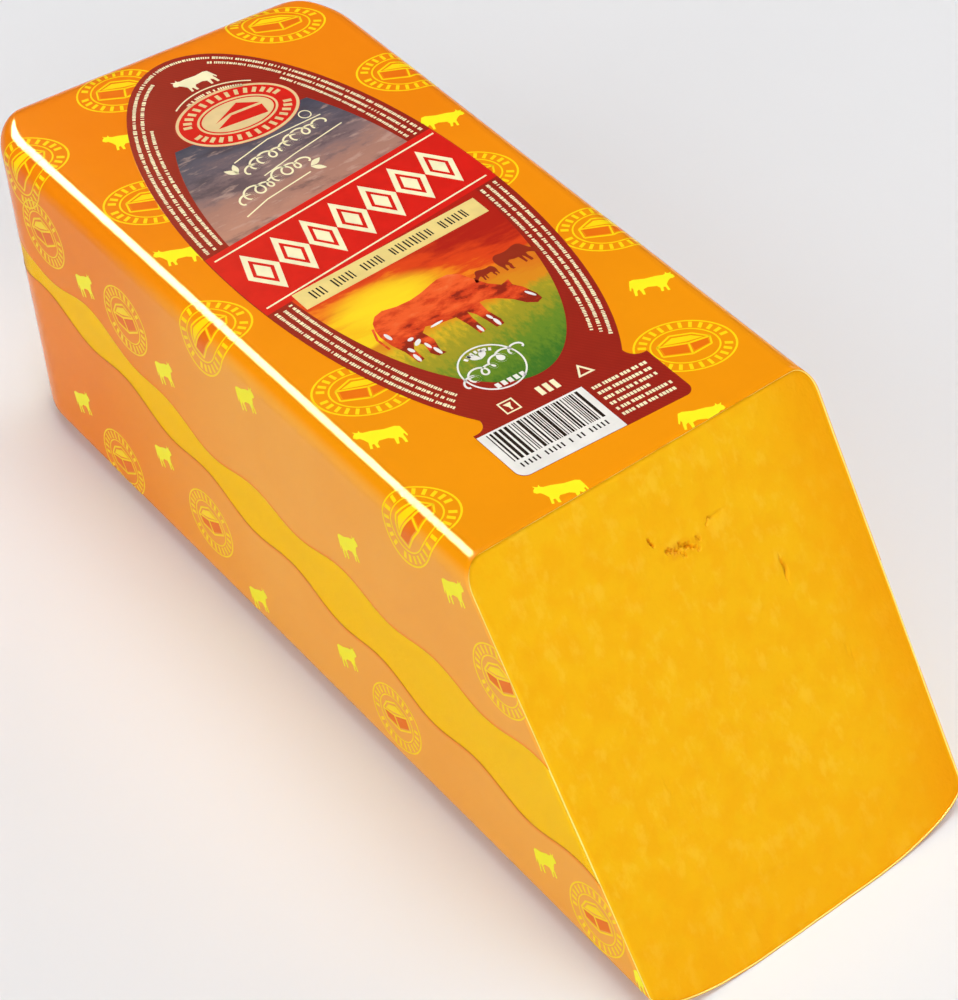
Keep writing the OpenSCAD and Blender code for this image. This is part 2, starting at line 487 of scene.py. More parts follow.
class WrapArt:
    """Thin figures of ink on the wrap, drawn in metres along and across its unrolled surface."""

    def __init__(self, form, sink):
        self.form = form
        self.sink = sink
        self.verts, self.faces = [], []

    def figure(self, outlines, place, turn, squeeze=1.0, mirrored=False, end=None):
        """Outlines in metres about their own middle, each a list of points or a pair of them.

        place is the distance round the block and the depth from its far end. On the far end,
        where end is the wrap's surface, it is the distance across and the height.
        """
        mesh = bmesh.new()
        for outline in outlines:
            loops = outline if isinstance(outline, tuple) else (outline,)
            flat = [p for loop in loops for p in moved(loop, mirrored=mirrored)]
            c, s = math.cos(turn), math.sin(turn)
            spots = [mesh.verts.new((place[0] + squeeze * u * c - v * s,
                                     place[1] - squeeze * u * s - v * c, 0)) for u, v in flat]
            for a, b, e in tessellate_polygon([[Vector((x, y, 0)) for x, y in p]
                                               for p in loops]):
                self.face(mesh, spots[a], spots[b], spots[e])
        self.slice(mesh)
        if end:
            for vert in mesh.verts:
                start = Vector((vert.co.x, FILM_HIGH.y + 0.1, vert.co.y))
                spot = end.ray_cast(start, Vector((0, -1, 0)))[0]
                vert.co = spot + Vector((0, wrap_settings().sink - self.sink, 0))
            self.take(mesh)
        else:
            self.lay(mesh)

    @staticmethod
    def face(mesh, a, b, c):
        """A triangle that faces outward once it is laid on the block."""
        ab, ac = b.co - a.co, c.co - a.co
        mesh.faces.new((a, b, c) if ab.x * ac.y - ab.y * ac.x < 0 else (a, c, b))

    @staticmethod
    def slice(mesh):
        """Cuts the faces every 4 mm, and every 1 mm where they bend round an edge."""
        def at_long_edges(across):
            return 50 < abs(across) < 78 or abs(across) > 150

        def at_far_edge(depth):
            return depth < 26

        for axis, bends in ((0, at_long_edges), (1, at_far_edge)):
            low = min(v.co[axis] for v in mesh.verts)
            high = max(v.co[axis] for v in mesh.verts)
            where = math.ceil(low / MM)
            while where * MM < high:
                point, across = Vector((0, 0, 0)), Vector((0, 0, 0))
                point[axis], across[axis] = where * MM, 1
                parts = mesh.verts[:] + mesh.edges[:] + mesh.faces[:]
                bmesh.ops.bisect_plane(mesh, geom=parts, plane_co=point, plane_no=across)
                where += 1 if bends(where) else 4

    def lay(self, mesh):
        """Maps the faces onto the block and cuts away what lies beyond the cut."""
        flat = np.array([v.co[:2] for v in mesh.verts])
        placed = self.form.place(flat[:, 0], flat[:, 1], self.sink)
        for vert, point in zip(mesh.verts, placed):
            vert.co = point
        point, outward = self.form.cut_plane()
        parts = mesh.verts[:] + mesh.edges[:] + mesh.faces[:]
        bmesh.ops.bisect_plane(mesh, geom=parts, plane_co=point, plane_no=outward,
                               clear_outer=True)
        self.take(mesh)

    def take(self, mesh):
        """Adds a figure's mesh to the piece."""
        mesh.verts.index_update()
        first = len(self.verts)
        self.verts += [tuple(v.co) for v in mesh.verts]
        self.faces += [[first + v.index for v in f.verts] for f in mesh.faces]
        mesh.free()

    def piece(self, name, material):
        """The piece that holds every figure so far, as thick as the ink."""
        piece = make_piece(name, self.verts, self.faces, material, "film")
        mesh = bmesh.new()
        mesh.from_mesh(piece.data)
        for edge in mesh.edges:
            edge.smooth = not edge.is_boundary
        mesh.to_mesh(piece.data)
        mesh.free()
        thick = piece.modifiers.new("Ink thickness", "SOLIDIFY")
        thick.thickness = wrap_settings().print_t
        thick.offset = -1
        return piece


def medallion(width, height):
    """Two rings, a ring of short dashes and a wedge of cheese, about their own middle."""
    outlines = []
    for share, thick in ((0.5, 0.022), (0.34, 0.018)):
        outer = ellipse((0, 0), (width * (share + thick / 2), height * (share + thick / 2)), 48)
        inner = ellipse((0, 0), (width * (share - thick / 2), height * (share - thick / 2)), 48)
        outlines.append((outer, inner[::-1]))
    angles = [math.tau * i / 26 for i in range(26) if i not in (0, 13)]
    outlines += spokes((0, 0), (0.42 * width, 0.42 * height), angles, (0.020, 0.045),
                       width * 0.9)
    lines = (((-0.27, 0.06), (-0.10, 0.24), (0.12, 0.22), (0.27, 0.10), (0.04, 0.04)),
             ((-0.27, 0.06), (-0.26, -0.14), (0.03, -0.18), (0.04, 0.04)),
             ((0.03, -0.18), (0.25, -0.05), (0.27, 0.10)),
             ((-0.27, 0.06), (0.04, 0.04)))
    for line in lines:
        for start, end in zip(line, line[1:]):
            a = Vector((start[0] * width, start[1] * height))
            b = Vector((end[0] * width, end[1] * height))
            side = Vector((a.y - b.y, b.x - a.x)).normalized() * width * 0.010
            outlines.append([tuple(a + side), tuple(a - side), tuple(b - side), tuple(b + side)])
    top = ((-0.21, 0.08), (-0.09, 0.19), (0.10, 0.18), (0.20, 0.11), (0.03, 0.08))
    outlines.append([(width * x, height * y) for x, y in top])
    return outlines


def medallion_wedge(width, height):
    """The wedge of cheese in a medallion's middle."""
    front = ((-0.23, -0.11), (0.01, -0.14), (0.02, 0.02), (-0.24, 0.04))
    side = ((0.06, -0.12), (0.23, -0.03), (0.24, 0.07), (0.06, 0.02))
    return [[(width * x, height * y) for x, y in shape] for shape in (front, side)]


# ---------------------------------------------------------------- shading


class Shading:
    """Adds nodes to a tree. A value may be a number, a colour or another node's output."""

    def __init__(self, tree):
        self.tree = tree

    def add(self, kind, values=(), **settings):
        """A node of a kind, with values for its inputs and settings of its own."""
        made = self.tree.nodes.new(kind)
        for name, value in settings.items():
            setattr(made, name, value)
        for name, value in dict(values).items():
            self.feed(made.inputs[name], value)
        return made

    def feed(self, socket, value):
        """Links or sets one input."""
        if isinstance(value, bpy.types.NodeSocket):
            self.tree.links.new(value, socket)
        elif isinstance(value, (tuple, list)) and socket.type == "RGBA":
            socket.default_value = (*value[:3], 1)
        else:
            socket.default_value = value

    def math(self, operation, first, second=0.0, clamp=False):
        """One sum of two values."""
        values = {0: first, 1: second}
        return self.add("ShaderNodeMath", values, operation=operation,
                        use_clamp=clamp).outputs[0]

    def between(self, value, low, high, start=0.0, end=1.0, smooth=False):
        """A value from low to high, mapped to start to end and held there beyond them."""
        kind = "SMOOTHSTEP" if smooth else "LINEAR"
        made = self.add("ShaderNodeMapRange", {"Value": value, "From Min": low,
                                               "From Max": high, "To Min": start,
                                               "To Max": end}, interpolation_type=kind)
        return made.outputs["Result"]

    def mix(self, share, first, second):
        """The first colour, with a share of the second."""
        made = self.add("ShaderNodeMix", data_type="RGBA")
        self.feed(made.inputs[0], share)
        self.feed(made.inputs[6], first)
        self.feed(made.inputs[7], second)
        return made.outputs[2]

    def noise(self, where, scale, detail=4.0, roughness=0.55, stretch=None):
        """Soft noise from 0 to 1 at places, finer along the axes with a greater stretch."""
        if stretch:
            where = self.add("ShaderNodeVectorMath", {0: where, 1: stretch},
                             operation="MULTIPLY").outputs[0]
        values = {"Vector": where, "Scale": scale, "Detail": detail, "Roughness": roughness}
        return self.add("ShaderNodeTexNoise", values).outputs["Fac"]

    def place(self):
        """Places in the block's frame."""
        return self.add("ShaderNodeTexCoord").outputs["Object"]

    def axes(self, where):
        """The x, y and z of places."""
        return self.add("ShaderNodeSeparateXYZ", {"Vector": where}).outputs

    def swayed(self, value, noise, amount):
        """A value moved up and down by noise."""
        sway = self.math("MULTIPLY", self.math("SUBTRACT", noise, 0.5), amount)
        return self.math("ADD", value, sway)

    def oval(self, first, second, middle, radii):
        """A value that is 0 in an oval's middle and 1 on its edge."""
        first = self.math("DIVIDE", self.math("SUBTRACT", first, middle[0]), radii[0])
        second = self.math("DIVIDE", self.math("SUBTRACT", second, middle[1]), radii[1])
        return self.math("ADD", self.math("MULTIPLY", first, first),
                         self.math("MULTIPLY", second, second))

    def bands(self, value, stops):
        """A smooth run of colours along a value from 0 to 1."""
        made = self.add("ShaderNodeValToRGB", {"Fac": value})
        ramp = made.color_ramp
        ramp.interpolation = "EASE"
        ramp.elements[0].color = (*stops[0][1], 1)
        ramp.elements[1].color = (*stops[-1][1], 1)
        for position, colour in stops[1:-1]:
            ramp.elements.new(position).color = (*colour, 1)
        return made.outputs["Color"]


def node_group(name, inputs, outputs):
    """A new group with these sockets, given as {name: (kind, default)} and {name: kind}."""
    tree = bpy.data.node_groups.new(name, "ShaderNodeTree")
    for label, (kind, default) in inputs.items():
        socket = tree.interface.new_socket(label, in_out="INPUT", socket_type=kind)
        socket.default_value = default
    for label, kind in outputs.items():
        tree.interface.new_socket(label, in_out="OUTPUT", socket_type=kind)
    shade = Shading(tree)
    start = shade.add("NodeGroupInput")
    end = shade.add("NodeGroupOutput")
    return shade, start.outputs, end.inputs


def mottle_group():
    """Slow and fine noise that varies a colour and a roughness, and gives a height."""
    name = "Mottle"
    if name in bpy.data.node_groups:
        return bpy.data.node_groups[name]
    number, colour = "NodeSocketFloat", "NodeSocketColor"
    shade, given, made = node_group(
        name,
        {"Color": (colour, (0.8, 0.8, 0.8, 1)), "Deep Color": (colour, (0.5, 0.5, 0.5, 1)),
         "Scale": (number, 60.0), "Amount": (number, 0.5), "Roughness": (number, 0.4),
         "Spread": (number, 0.1)},
        {"Color": colour, "Roughness": number, "Height": number})
    where = shade.place()
    slow = shade.noise(where, given["Scale"], 5.0)
    fine = shade.noise(where, shade.math("MULTIPLY", given["Scale"], 7.0), 3.0)
    share = shade.between(slow, 0.36, 0.66, smooth=True)
    share = shade.math("MULTIPLY", share, given["Amount"])
    shade.feed(made["Color"], shade.mix(share, given["Color"], given["Deep Color"]))
    change = shade.math("MULTIPLY", shade.math("SUBTRACT", fine, 0.5), given["Spread"])
    shade.feed(made["Roughness"], shade.math("ADD", given["Roughness"], change, clamp=True))
    height = shade.math("ADD", shade.math("MULTIPLY", slow, 0.6),
                        shade.math("MULTIPLY", fine, 0.4))
    shade.feed(made["Height"], height)
    return shade.tree


def new_material(name):
    """A material with only an output, and its shading helper."""
    made = bpy.data.materials.new(name)
    made.use_nodes = True
    made.node_tree.nodes.clear()
    return made, Shading(made.node_tree)


def mottled(shade, colour, deep, scale, amount, roughness, spread):
    """The mottle group's outputs with these inputs."""
    made = shade.add("ShaderNodeGroup", node_tree=mottle_group())
    values = (colour, deep, scale, amount, roughness, spread)
    for socket, value in zip(made.inputs, values):
        shade.feed(socket, value)
    return made.outputs


def surface(shade, values, height=None, bump=0.0, distance=0.0001):
    """The principled shader and the output, with a bump if a height is given."""
    if height is not None:
        normal = shade.add("ShaderNodeBump", {"Strength": bump, "Distance": distance,
                                              "Height": height})
        values["Normal"] = normal.outputs["Normal"]
    shader = shade.add("ShaderNodeBsdfPrincipled", values)
    shade.add("ShaderNodeOutputMaterial", {"Surface": shader.outputs["BSDF"]})
    return shader


def deeper(colour, share):
    """A colour darkened to a share of itself."""
    return tuple(c * share for c in colour)


def side_reach(shade, x, z):
    """How far out places lie on either side, less what the sides lean out below them."""
    block = block_settings()
    lean = (block.top_w - block.base_w) / 2 / BLOCK_H
    return shade.math("SUBTRACT", shade.math("ABSOLUTE", x), shade.math("MULTIPLY", z, lean))


def cheese_material():
    """Waxy orange cheese: faint curd mottling, deeper towards the right side and the base of the
    cut, and painted shade round its crumbled pits.
    """
    block = block_settings()
    material, shade = new_material("cheese")
    where = shade.place()
    x, y, z = shade.axes(where)
    out = mottled(shade, tuple(block.cheese_colour), tuple(block.cheese_deep), 150.0, 0.34,
                  0.44, 0.22)
    curd = shade.noise(where, 230.0, 4.0, 0.6, (1.0, 0.7, 0.62))
    pale = shade.between(curd, 0.50, 0.70, 0.0, 0.30, smooth=True)
    colour = shade.mix(pale, out["Color"], srgb(252, 206, 60))
    right = shade.between(x, 30 * MM, 58 * MM, 0.0, 0.75, smooth=True)
    low = shade.between(z, 30 * MM, 2 * MM, 0.0, 0.35, smooth=True)
    edge = shade.math("ADD", right, low, clamp=True)
    colour = shade.mix(edge, colour, tuple(block.cheese_deep))
    # Painted shade: an oval round the crumbled pits near the top of the cut is darkened towards
    # deep orange, standing in for the shadows among the crumbs.
    patch = shade.oval(x, z, (2 * MM, 80.6 * MM), (8 * MM, 1.9 * MM))
    patch = shade.between(patch, 0.2, 1.2, 0.34, 0.0, smooth=True)
    patch = shade.math("MULTIPLY", patch, shade.between(curd, 0.40, 0.56))
    colour = shade.mix(patch, colour, srgb(222, 116, 8))
    beside = shade.between(side_reach(shade, x, z), 55 * MM, 56.2 * MM, 0.0, 0.85)
    turned = shade.between(x, -30 * MM, 30 * MM)
    colour = shade.mix(beside, colour, shade.mix(turned, srgb(255, 203, 26), srgb(253, 184, 16)))
    lean = shade.math("MULTIPLY", z, math.tan(block.end_lean))
    behind = shade.between(shade.math("SUBTRACT", y, lean), FILM_HIGH.y - 14 * MM,
                           FILM_HIGH.y - 12 * MM)
    colour = shade.mix(behind, colour, srgb(253, 184, 16))
    slow = shade.noise(where, 120.0, 4.0, 0.6)
    height = shade.math("ADD", shade.math("MULTIPLY", out["Height"], 0.5),
                        shade.math("MULTIPLY", slow, 0.6))
    height = shade.math("ADD", height, shade.math("MULTIPLY", curd, 0.6))
    surface(shade, {"Base Color": colour, "Roughness": out["Roughness"],
                    "Subsurface Weight": 0.10, "Subsurface Radius": (1.0, 0.42, 0.08),
                    "Subsurface Scale": 0.002, "Specular IOR Level": 0.03},
            height, 0.42, 0.0010)
    return material


def strip_group():
    """Where the wrap is printed, and a line along the print's wavy edges by the clear strip."""
    name = "Clear strip"
    if name in bpy.data.node_groups:
        return bpy.data.node_groups[name]
    wrap = wrap_settings()
    number = "NodeSocketFloat"
    shade, given, made = node_group(
        name,
        {"Top": (number, wrap.strip_top), "Top Rise": (number, wrap.strip_top_rise),
         "Base": (number, wrap.strip_base), "Base Rise": (number, wrap.strip_base_rise),
         "Wave": (number, wrap.wave), "Wave Length": (number, wrap.wave_len)},
        {"Printed": number, "Line": number})
    x, y, z = shade.axes(shade.place())
    run = shade.math("SUBTRACT", y, x)
    far_y = FILM_HIGH.y
    along = shade.between(y, FILM_LOW.y + 25 * MM, far_y - 24 * MM)
    top_share = shade.between(y, far_y - 118 * MM, far_y - 50 * MM, smooth=True)
    base_share = shade.math("POWER", along, 1.7)

    def wavy(level, rise, share, start):
        turns = shade.math("DIVIDE", shade.math("MULTIPLY", run, math.tau),
                           given["Wave Length"])
        wave = shade.math("SINE", shade.math("ADD", turns, start))
        second = shade.math("SINE", shade.math("MULTIPLY", turns, 0.37))
        wave = shade.math("ADD", wave, shade.math("MULTIPLY", second, 0.2))
        edge = shade.math("ADD", level, shade.math("MULTIPLY", rise, share))
        return shade.math("ADD", edge, shade.math("MULTIPLY", wave, given["Wave"]))

    top = wavy(given["Top"], given["Top Rise"], top_share, 2.72)
    base = wavy(given["Base"], given["Base Rise"], base_share, 5.43)
    outside = shade.math("MAXIMUM", shade.math("SUBTRACT", z, top),
                         shade.math("SUBTRACT", base, z))
    shade.feed(made["Printed"], shade.between(outside, -0.15 * MM, 0.15 * MM))
    shade.feed(made["Line"], shade.between(outside, 0.2 * MM, 1.2 * MM, 1.0, 0.0, smooth=True))
    return shade.tree


def film_material():
    """Glossy wrap printed orange, with a clear strip along each side between wavy edges, and a
    painted sheen on its sides near the cut.
    """
    wrap = wrap_settings()
    material, shade = new_material("wrap")
    x, y, z = shade.axes(shade.place())
    strip = shade.add("ShaderNodeGroup", node_tree=strip_group()).outputs
    far = shade.between(y, FILM_HIGH.y - 220 * MM, FILM_HIGH.y, smooth=True)
    beside = shade.between(side_reach(shade, x, z), 54.2 * MM, 56.2 * MM, smooth=True)
    near = shade.between(y, 100 * MM, 0.0, smooth=True)
    # Painted reflection: the near part of each side is paled to a hazy peach, standing in for the
    # pale floor's sheen in the glossy wrap.
    painted_sheen = shade.math("MULTIPLY", beside, near)
    ink = shade.mix(far, tuple(wrap.orange), srgb(242, 132, 10))
    deep = shade.mix(far, deeper(tuple(wrap.orange), 0.93), srgb(238, 122, 8))
    ink = shade.mix(painted_sheen, ink, srgb(244, 168, 62))
    deep = shade.mix(painted_sheen, deep, srgb(242, 160, 52))
    out = mottled(shade, ink, deep, 26.0, 0.5, 0.11, 0.04)
    line = shade.math("MULTIPLY", strip["Line"], 0.65)
    ink = shade.mix(line, out["Color"], tuple(wrap.orange_deep))
    colour = shade.mix(strip["Printed"], srgb(252, 203, 26), ink)
    alpha = shade.between(strip["Printed"], 0.0, 1.0, 0.05, 1.0)
    surface(shade, {"Base Color": colour, "Roughness": out["Roughness"], "Alpha": alpha,
                    "Specular IOR Level": 0.08},
            out["Height"], 0.10, 0.0004)
    return material


def ink_material(name, colour, deep, everywhere=False):
    """Ink under the wrap's own gloss, which stops at the clear strip unless everywhere."""
    material, shade = new_material(name)
    out = mottled(shade, colour, deep, 150.0, 0.30, 0.12, 0.04)
    values = {"Base Color": out["Color"], "Roughness": out["Roughness"],
              "Specular IOR Level": 0.08}
    if not everywhere:
        strip = shade.add("ShaderNodeGroup", node_tree=strip_group()).outputs
        values["Alpha"] = strip["Printed"]
    surface(shade, values, out["Height"], 0.08, 0.0003)
    return material


def paper_material(name, colour, ridges=0.0):
    """Smooth printed label stock, with fine slanting ridges if asked."""
    material, shade = new_material(name)
    deep = deeper(colour, 0.82)
    out = mottled(shade, colour, deep, 160.0, 0.45, 0.14, 0.06)
    tone, height = out["Color"], out["Height"]
    if ridges:
        x, y = shade.axes(shade.place())[:2]
        slant = shade.math("ADD", shade.math("MULTIPLY", x, 0.8), shade.math("MULTIPLY", y, 0.6))
        wave = shade.math("SINE", shade.math("MULTIPLY", slant, math.tau / (1.1 * MM)))
        tone = shade.mix(shade.between(wave, -1.0, 1.0, 0.0, ridges), tone, deep)
        height = shade.math("ADD", height, shade.math("MULTIPLY", wave, 0.25))
    surface(shade, {"Base Color": tone, "Roughness": out["Roughness"],
                    "Specular IOR Level": 0.10}, height, 0.12, 0.0002)
    return material


def painted(shade, colour):
    """Finishes a printed picture of this colour with the label stock's gloss."""
    out = mottled(shade, colour, colour, 160.0, 0.0, 0.14, 0.06)
    surface(shade, {"Base Color": out["Color"], "Roughness": out["Roughness"],
                    "Specular IOR Level": 0.10}, out["Height"], 0.12, 0.0002)


def sky_material(plan):
    """A stormy sky: grey-blue above, warm grey below, with streaks of cloud."""
    material, shade = new_material("sky")
    where = shade.place()
    y = shade.axes(where)["Y"]
    height = shade.between(y, plan.centre_y + 12 * MM, plan.centre_y + 60 * MM)
    clouds = shade.noise(where, 62.0, 6.0, 0.66, (0.8, 1.9, 1.0))
    wisps = shade.noise(where, 190.0, 4.0, 0.6, (0.6, 2.2, 1.0))
    height = shade.swayed(height, clouds, 0.7)
    colour = shade.bands(height, (
        (0.0, srgb(192, 138, 116)), (0.3, srgb(172, 124, 108)), (0.55, srgb(132, 106, 106)),
        (0.8, srgb(92, 84, 96)), (1.0, srgb(70, 68, 84))))
    dark = shade.between(clouds, 0.50, 0.66, 0.0, 0.6, smooth=True)
    colour = shade.mix(dark, colour, srgb(82, 66, 72))
    light = shade.between(wisps, 0.54, 0.70, 0.0, 0.5, smooth=True)
    painted(shade, shade.mix(light, colour, srgb(204, 168, 152)))
    return material


def meadow_material(plan):
    """A low sun over a field: yellow glow, red clouds, then grass that deepens to green."""
    material, shade = new_material("meadow")
    where = shade.place()
    x, y = shade.axes(where)[:2]
    centre = plan.centre_y
    clouds = shade.noise(where, 95.0, 5.0, 0.62, (0.7, 2.6, 1.0))
    tufts = shade.noise(where, 420.0, 4.0, 0.65, (1.6, 0.8, 1.0))
    height = shade.between(y, centre - 50 * MM, centre - 12 * MM)
    height = shade.swayed(height, clouds, 0.8)
    lean = shade.between(x, -20 * MM, 34 * MM, -0.15, 0.30)
    colour = shade.bands(shade.math("ADD", height, lean), (
        (0.0, srgb(246, 206, 28)), (0.3, srgb(246, 186, 22)), (0.5, srgb(240, 132, 22)),
        (0.68, srgb(222, 66, 20)), (1.0, srgb(176, 28, 16))))
    sun = shade.oval(x, y, (-14 * MM, centre - 30 * MM), (20 * MM, 9 * MM))
    colour = shade.mix(shade.between(sun, 0.0, 1.2, 0.85, 0.0, smooth=True), colour,
                       srgb(252, 222, 34))
    hill = shade.math("ADD", shade.math("MULTIPLY", x, 0.18), centre - 38 * MM)
    hill = shade.math("SUBTRACT", hill, y)
    colour = shade.mix(shade.between(hill, 0.0, 1.2 * MM, 0.0, 0.8), colour, srgb(214, 120, 26))
    depth = shade.between(y, centre - 78 * MM, centre - 44 * MM)
    depth = shade.math("ADD", depth, shade.between(x, -30 * MM, 34 * MM, 0.12, -0.16))
    grass = shade.bands(shade.swayed(depth, tufts, 0.7), (
        (0.0, srgb(60, 112, 34)), (0.35, srgb(104, 136, 36)), (0.65, srgb(160, 150, 36)),
        (1.0, srgb(222, 178, 36))))
    edge = shade.math("ADD", y, shade.math("MULTIPLY", tufts, 4 * MM))
    ground = shade.between(edge, centre - 44 * MM, centre - 47 * MM)
    painted(shade, shade.mix(ground, colour, grass))
    return material


def hide_material(plan):
    """A red cow in evening light: brown hollows, a red coat and an orange sheen above."""
    material, shade = new_material("hide")
    where = shade.place()
    y = shade.axes(where)["Y"]
    coat = shade.noise(where, 170.0, 5.0, 0.62, (0.7, 1.4, 1.0))
    low, high = plan.centre_y - 55 * MM, plan.centre_y - 32 * MM
    tone = shade.math("ADD", coat, shade.between(y, low, high, -0.14, 0.12))
    painted(shade, shade.bands(tone, (
        (0.0, srgb(112, 28, 14)), (0.37, srgb(146, 36, 18)), (0.45, srgb(212, 62, 26)),
        (0.60, srgb(238, 92, 40)), (0.76, srgb(250, 156, 90)))))
    return material


def floor_material():
    """Plain pale card."""
    stage = stage_settings()
    material, shade = new_material("floor")
    colour = tuple(stage.floor_colour)
    out = mottled(shade, colour, deeper(colour, 0.985), 9.0, 0.4, 0.75, 0.1)
    surface(shade, {"Base Color": out["Color"], "Roughness": out["Roughness"],
                    "Specular IOR Level": 0.0}, out["Height"], 0.04, 0.0004)
    return material


# ---------------------------------------------------------------- cheese and wrap


def side_columns(form, fine=True):
    """Distances round the block, close together at its edges and, if fine, over the pits."""
    half = form.round / 2
    top_edge = form.sizes.top_w / 2
    side_base = top_edge + 72 * MM
    steps = []
    where = 0.0
    while where < half:
        steps.append(where)
        if fine and where < 21 * MM:
            step = 0.35
        elif abs(where - top_edge) < 9 * MM:
            step = 0.6
        elif side_base < where < half - 20 * MM:
            step = 1.5
        else:
            step = 2.2
        where += step * MM
    right = np.array(steps)
    left = form.round - right[1:][::-1]
    return np.concatenate([right, [half], left])


def side_rows(form, across, sink, rows=110):
    """Points of the lofted sides, from the far end to the cut, one row after another."""
    corner, corner_rows = form.sizes.end_corner_r, 22
    turns = [math.pi / 2 * i / corner_rows for i in range(corner_rows + 1)]
    last = form.cut_depth(across)
    points = [form.place(across, np.full_like(across, corner * (1 - math.cos(turn))), sink)
              for turn in turns]
    for i in range(1, rows + 1):
        points.append(form.place(across, corner + (last - corner) * i / rows, sink))
    # The last row is moved along the block onto the plane of the cut.
    plane, outward = form.cut_plane()
    rim = points[-1]
    rim[:, 1] += (np.array(outward) @ (np.array(plane) - rim).T) / outward.y
    return points


def end_cap(ring):
    """Rings that close the far end, from its rim in to the middle, and their centre."""
    rings = 9
    centre = ring.mean(axis=0)
    return [centre + (ring - centre) * (1 - i / rings) for i in range(1, rings)], centre


def closed_fan(first, count, centre, flip):
    """Triangles from a closed ring of points to a centre."""
    faces = [(first + i, first + (i + 1) % count, centre) for i in range(count)]
    return [f[::-1] for f in faces] if flip else faces


def closed_skin(name, rows, centres, material, slot):
    """A piece of closed rows of points, with a fan to a centre at each end."""
    count = len(rows[0])
    total = len(rows) * count
    faces = grid_faces(len(rows), count, closed=True)
    faces += closed_fan(0, count, total, flip=True)
    faces += closed_fan(total - count, count, total + 1, flip=False)
    return make_piece(name, np.concatenate(rows + [centres]), faces, material, slot)


# Pits and cracks of the cut, in millimetres across it and up from its base: where each one
# starts and ends, about half its width, and its depth.
CUT_PITS = (
    ((-6.6, 85.2), (-5.9, 84.0), 0.30, 2.6), ((-2.8, 81.7), (-1.2, 81.2), 0.34, 1.1),
    ((-0.6, 80.6), (1.3, 80.4), 0.30, 1.0), ((1.6, 81.2), (2.7, 80.6), 0.34, 1.3),
    ((3.4, 80.7), (4.9, 80.0), 0.40, 1.9), ((1.2, 79.4), (2.2, 79.0), 0.30, 0.8),
    ((5.6, 79.6), (7.0, 78.4), 0.32, 0.9), ((7.2, 80.8), (8.0, 80.2), 0.30, 0.7),
    ((11.4, 82.4), (14.4, 83.4), 0.22, 0.7), ((14.4, 83.4), (16.6, 83.2), 0.20, 0.5),
    ((28.5, 67.9), (29.4, 66.0), 0.32, 1.8), ((29.4, 66.0), (28.6, 64.2), 0.36, 2.2),
    ((-30.0, 42.0), (-27.5, 41.2), 0.40, 0.35), ((12.0, 30.5), (15.0, 31.3), 0.40, 0.3),
    ((-8.0, 14.0), (-5.5, 13.2), 0.40, 0.3), ((38.0, 44.0), (39.4, 41.8), 0.40, 0.3))


def pit_depth(x, z):
    """Depth of the crumbled pits and cracks of the cut, at points across it."""
    depth = np.zeros_like(x)
    for (ax, az), (bx, bz), width, deep in CUT_PITS:
        ax, az, bx, bz, width, deep = (v * MM for v in (ax, az, bx, bz, width, deep))
        length = (bx - ax) ** 2 + (bz - az) ** 2
        share = np.clip(((x - ax) * (bx - ax) + (z - az) * (bz - az)) / length, 0, 1)
        wander = 0.35 * MM * np.sin(share * 9.0 + ax * 900)
        away = np.hypot(x - ax - share * (bx - ax), z - az - share * (bz - az) - wander)
        wall = np.clip((1.5 - away / width) / 0.7, 0, 1)
        depth = np.maximum(depth, deep * wall * wall * (3 - 2 * wall))
    return depth


def cut_face(form, rim):
    """Rings across the cut from its rim to the middle, sunk a little and finely uneven."""
    plane, outward = form.cut_plane()
    plane, outward = np.array(plane), np.array(outward)
    middle_z = 52 * MM
    centre = np.array([0.0, 0.0, CHEESE_LOW.z + middle_z])
    centre[1] = plane[1] - (outward[0] * (centre[0] - plane[0])
                            + outward[2] * (centre[2] - plane[2])) / outward[1]
    # The rings are closest together where the pits are.
    shares = np.concatenate([np.linspace(0.995, 0.76, 22), np.linspace(0.755, 0.42, 70),
                             np.linspace(0.40, 0.02, 26)])
    rings = []
    for share in shares:
        ring = centre + (rim - centre) * share
        x, z = ring[:, 0], ring[:, 2] - CHEESE_LOW.z
        wave = 0.5 + 0.25 * np.sin(x / (17 * MM) + 1.3 * np.sin(z / (23 * MM)))
        wave += 0.25 * np.sin(z / (11 * MM) + 2.0 * np.sin(x / (29 * MM)))
        fine = [noise.fractal(Vector((a, b, 3.1)) / (6 * MM), 1.0, 2.1, 4) for a, b in zip(x, z)]
        sink = 0.10 * MM + 0.12 * MM * wave + 0.05 * MM * (1 + np.clip(fine, -1, 1))
        dip_at_rim = 0.25 * MM * np.clip((share - 0.984) / 0.011, 0, 1)
        sink = sink + pit_depth(x, z) + dip_at_rim
        rings.append(ring - outward * sink[:, None])
    return rings, centre - outward * 0.2 * MM


def build_cheese(form, material):
    """The block of cheese, just inside the wrap and a little behind its cut edge."""
    gap, behind_cut = 0.03 * MM, 0.35 * MM
    across = side_columns(form)
    sides = side_rows(form, across, FILM_T + gap, rows=60)
    rim = sides[-1]
    cut, cut_centre = cut_face(form, rim)
    cap, cap_centre = end_cap(sides[0])
    sides[-1] = rim - np.array(form.cut_plane()[1]) * behind_cut
    return closed_skin("cheese_block", cap[::-1] + sides + cut, [cap_centre, cut_centre],
                       material, "cheese")


def build_film(form, material):
    """One closed skin: the outside, the rim at the cut and the inside."""
    wrap = wrap_settings()
    across = side_columns(form, fine=False)
    outer = side_rows(form, across, wrap.sink)
    inner = side_rows(form, across, wrap.sink + wrap.skin_t)
    cap, centre = end_cap(outer[0])
    through = (0, -wrap.skin_t, 0)
    rows = cap[::-1] + outer + inner[::-1] + [ring + through for ring in cap]
    return closed_skin("wrap_film", rows, [centre, centre + through], material, "film")


